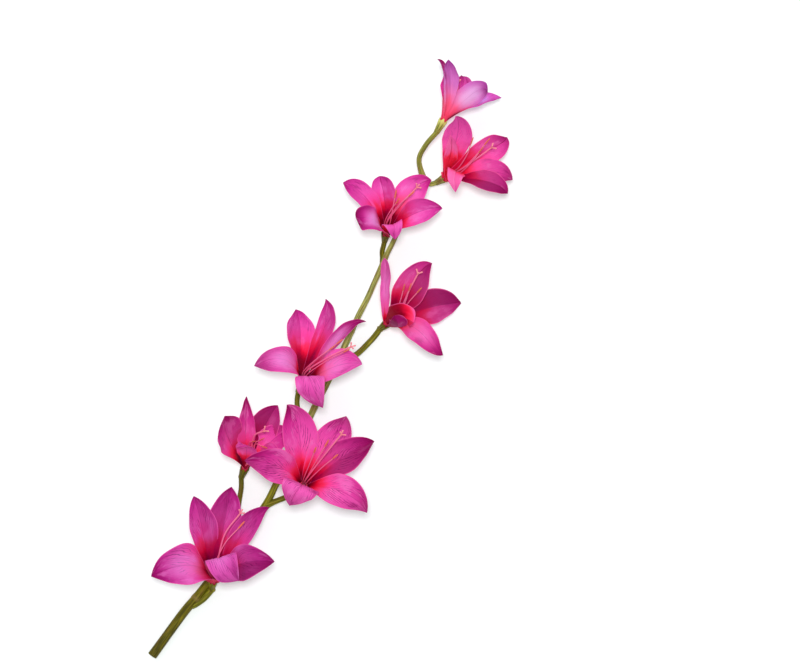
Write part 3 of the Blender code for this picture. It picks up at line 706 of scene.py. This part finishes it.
for number, petals in PETALS.items():
    at, heading, rise = CALYXES[number][:3]
    at = np.array(at, float)
    frame_of = bloom_frame(heading, rise)
    axis, low, left = frame_of
    pieces = []
    for k, (petal, angle) in enumerate(zip(petals, petal_angles(at, frame_of, petals))):
        rng = np.random.default_rng(10 * number + k)
        surface, t, v = petal_surface(at, frame_of, angle, k % 2, petal, rng)
        points, faces, guide, normal = petal_solid(surface, t, v)
        toward = cos(angle) * low + sin(angle) * left
        if normal[1, CROSSWISE // 2] @ toward > 0:
            guide[:, 2] = 1 - guide[:, 2]
        tone = (petal["shade"], 10 * number + 1.7 * k, petal.get("hue", HUES[number]))
        blush = (petal.get("red", 0), petal.get("pink_back", 0), petal.get("lilac_and_sheen", 0))
        pieces.append((points, faces, 0, guide, tone, blush, (VEINED[number], 0, 0)))
    # The short tube that the petals share, closed over the foot in the calyx
    circle = circle_round(np.linspace(0, 2 * pi, TUBE_SIDES, endpoint=False), low, left)
    points, faces = skin(np.array([at + axis * up + circle * radius for up, radius in TUBE]))
    guide = np.array([(0.02 + 0.01 * up, 0.3, 1.0) for up, radius in TUBE for side in range(TUBE_SIDES)])
    pieces.append((points, faces, 0, capped(guide, (True, True), (0, 0, 0)), (0, number, HUES[number])))
    bloom = new_object(f"petals_{number}", make_mesh(f"petals_{number}", pieces, [magenta]))
    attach(bloom, "root")
    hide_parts(f"bloom_{number}")

# Stamens
# In each throat stand three thin filaments with orange anthers, and the longer style that ends in three
# pink arms. They grow from the top of the flower's tube.

# Where each bloom's style and three filaments end: right and up from the calyx, height over the table
STALKS = {
    1: [(25, 61, 44), (24, 49, 40), (10, 20, 20), (12, 19, 20)],
    2: [(18, 34, 46), (9, 25, 48), (15, 26, 44), (17, 21, 44)],
    3: [(34, 47, 60), (12, 33, 66), (28, 28, 66), (21, 38, 58)],
    4: [(43, 33, 57), (26, 31, 58), (38, 29, 60), (32, 36, 54)],
    5: [(27, 42, 50), (15, 29, 50), (20, 29, 50), (27, 27, 50)],
    6: [(26, 38, 48), (9, 25, 56), (8, 30, 50), (20, 31, 54)],
    7: [(39, 24, 44), (22, 27, 50), (29, 20, 50), (34, 27, 46)],
    8: [(13, 33, 30), (12, 27, 33), (14, 24, 31), (10, 28, 28)],
}
# How far a bloom's style bows to the upper left; its filaments bow half as far
BOW = {1: 4.5, 2: 4, 5: 1.5}
STALK_SIDES = 10
# A stalk's foot and neck in the tube: height, and how far a filament stands off the axis there
STALK_FOOT, STALK_NECK = (8.4, 1.4), (22, 2.6)
# Radius of the style and of a filament at the foot and at the end
STYLE_R, FILAMENT_R = (0.8, 0.66), (0.55, 0.42)
# An arm of the style, turned up at its end: distance past the style, distance from its line; then its radius
ARM = [(0, 0), (1.5, 1.0), (2.9, 2.5), (3.5, 3.5)]
ARM_R = [(0, 0.48), (0.5, 0.55), (0.85, 0.78), (1, 0.35)]
# An anther lies along its filament's end: distance past it, half width, half depth
ANTHER = [(-1.2, 0.25, 0.2), (-0.6, 0.6, 0.45), (0.6, 0.72, 0.55), (3.0, 0.75, 0.55), (5.4, 0.7, 0.5),
          (6.8, 0.55, 0.4), (7.5, 0.2, 0.15)]
ANTHER_SIDES = 16
# The foot that joins them, turned from the tube's mouth up: height, radius
FOOT = [(7.8, 2.15), (9.4, 1.95), (10.6, 1.2)]
FOOT_SIDES = 20
# A stalk's colours from the foot to the end, those of its arms and spots, and those of the anthers
STALK_PINKS = [(0, (0.45, 0.02, 0.10)), (0.35, (0.72, 0.06, 0.24)), (0.75, (0.86, 0.13, 0.34)),
               (1, (0.86, 0.17, 0.26))]
ARM_CORAL, PINK_SPOT = (0.88, 0.24, 0.28, 1), (0.90, 0.24, 0.36, 1)
ANTHER_RED, ANTHER_ORANGE = (0.70, 0.09, 0.05, 1), (0.88, 0.19, 0.11, 1)
POLLEN_GRAIN = (0.90, 0.27, 0.14, 1)

coral, tree, shader = new_material("filament")
# Guides: way along the stalk, way round it, kind; the kinds are 0 for a filament or style, and 1 for an arm
along, around, kind = guides_of(tree)[:3]
spots = add(tree, "TexNoise", {"Scale": 700.0, "Detail": 3.0}).outputs[0]
colour = mixed(tree, kind, ramp(tree, along, STALK_PINKS), ARM_CORAL)
colour = mixed(tree, between(tree, spots, 0.4, 0.75), colour, PINK_SPOT)
tree.links.new(colour, shader.inputs["Base Color"])
tree.links.new(sums(tree, "MULTIPLY_ADD", spots, 0.2, 0.38), shader.inputs["Roughness"])
shader.inputs["Specular IOR Level"].default_value = 0.4

pollen, tree, shader = new_material("anther")
grains = add(tree, "TexVoronoi", {"Scale": 2600.0}).outputs["Distance"]
cloud = add(tree, "TexNoise", {"Scale": 420.0, "Detail": 3.0}).outputs[0]
colour = mixed(tree, between(tree, cloud, 0.35, 0.65), ANTHER_RED, ANTHER_ORANGE)
colour = mixed(tree, between(tree, grains, 0.35, 0.05), colour, POLLEN_GRAIN)
tree.links.new(colour, shader.inputs["Base Color"])
shader.inputs["Roughness"].default_value = 0.8
bump = add(tree, "Bump", {"Height": grains, "Strength": 0.5, "Distance": 0.0002})
tree.links.new(bump.outputs[0], shader.inputs["Normal"])


def stalk_piece(path, radii, kind, number):
    """A closed stalk with its guides."""
    points, faces = skin(tube(path, radii, STALK_SIDES))
    t = np.repeat(np.linspace(0, 1, len(path)), STALK_SIDES)
    guide = np.stack([t, np.tile(np.linspace(0, 1, STALK_SIDES), len(path)), np.full(t.size, float(kind))], -1)
    return points, faces, 0, capped(guide, (True, True), guide[-1]), (0, number, 0)


for number, ends in STALKS.items():
    at, heading, rise = CALYXES[number][:3]
    at = np.array(at, float)
    axis, low, left = bloom_frame(heading, rise)
    pieces = []
    for k, reach in enumerate(ends):
        is_filament = k > 0
        out = cos(radians(120 * k)) * low + sin(radians(120 * k)) * left
        start = at + STALK_FOOT[0] * axis + (STALK_FOOT[1] if is_filament else 0) * out
        neck = at + STALK_NECK[0] * axis + (STALK_NECK[1] if is_filament else 0) * out
        end = np.array([at[0] + reach[0], at[1] + reach[1], reach[2]], float)
        bow = BOW.get(number, 0) * (0.5 if is_filament else 1) * np.array([-0.8, 0.6, 0])
        middle = 0.5 * (neck + end) + 3 * axis + bow
        path = smooth_path([start, neck, middle, end], 10)
        radii = np.linspace(*(FILAMENT_R if is_filament else STYLE_R), len(path))
        pieces.append(stalk_piece(path, radii, 0, number))
        ahead = unit(end - middle)
        side = unit(np.cross(ahead, axis))
        third = np.cross(ahead, side)
        if is_filament:
            turns = np.linspace(0, 2 * pi, ANTHER_SIDES, endpoint=False)
            lobes = 1 - 0.28 * np.abs(np.sin(turns)) ** 6
            rings = np.array([end + ahead * far + (np.cos(turns) * wide)[:, None] * side
                              + (np.sin(turns) * deep * lobes)[:, None] * third for far, wide, deep in ANTHER])
            points, faces = skin(rings)
            pieces.append((points, faces, 1, (0, 0, 0), (0, number, 0)))
        else:
            for turn in (0, 120, 240):
                away = cos(radians(turn)) * side + sin(radians(turn)) * third
                path = smooth_path([end + far * ahead + off * away for far, off in ARM], 5)
                radii = np.interp(np.linspace(0, 1, len(path)), *zip(*ARM_R))
                pieces.append(stalk_piece(path, radii, 1, number))
    circle = circle_round(np.linspace(0, 2 * pi, FOOT_SIDES, endpoint=False), low, left)
    points, faces = skin(np.array([at + axis * up + circle * radius for up, radius in FOOT]))
    pieces.append((points, faces, 0, (0, 0, 0), (0, number, 0)))
    mesh = make_mesh(f"stamens_grown_{number}", pieces, [coral, pollen])
    stamens = new_object(f"stamens_grown_{number}", mesh)
    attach(stamens, "root")
    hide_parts(f"stamens_{number}")
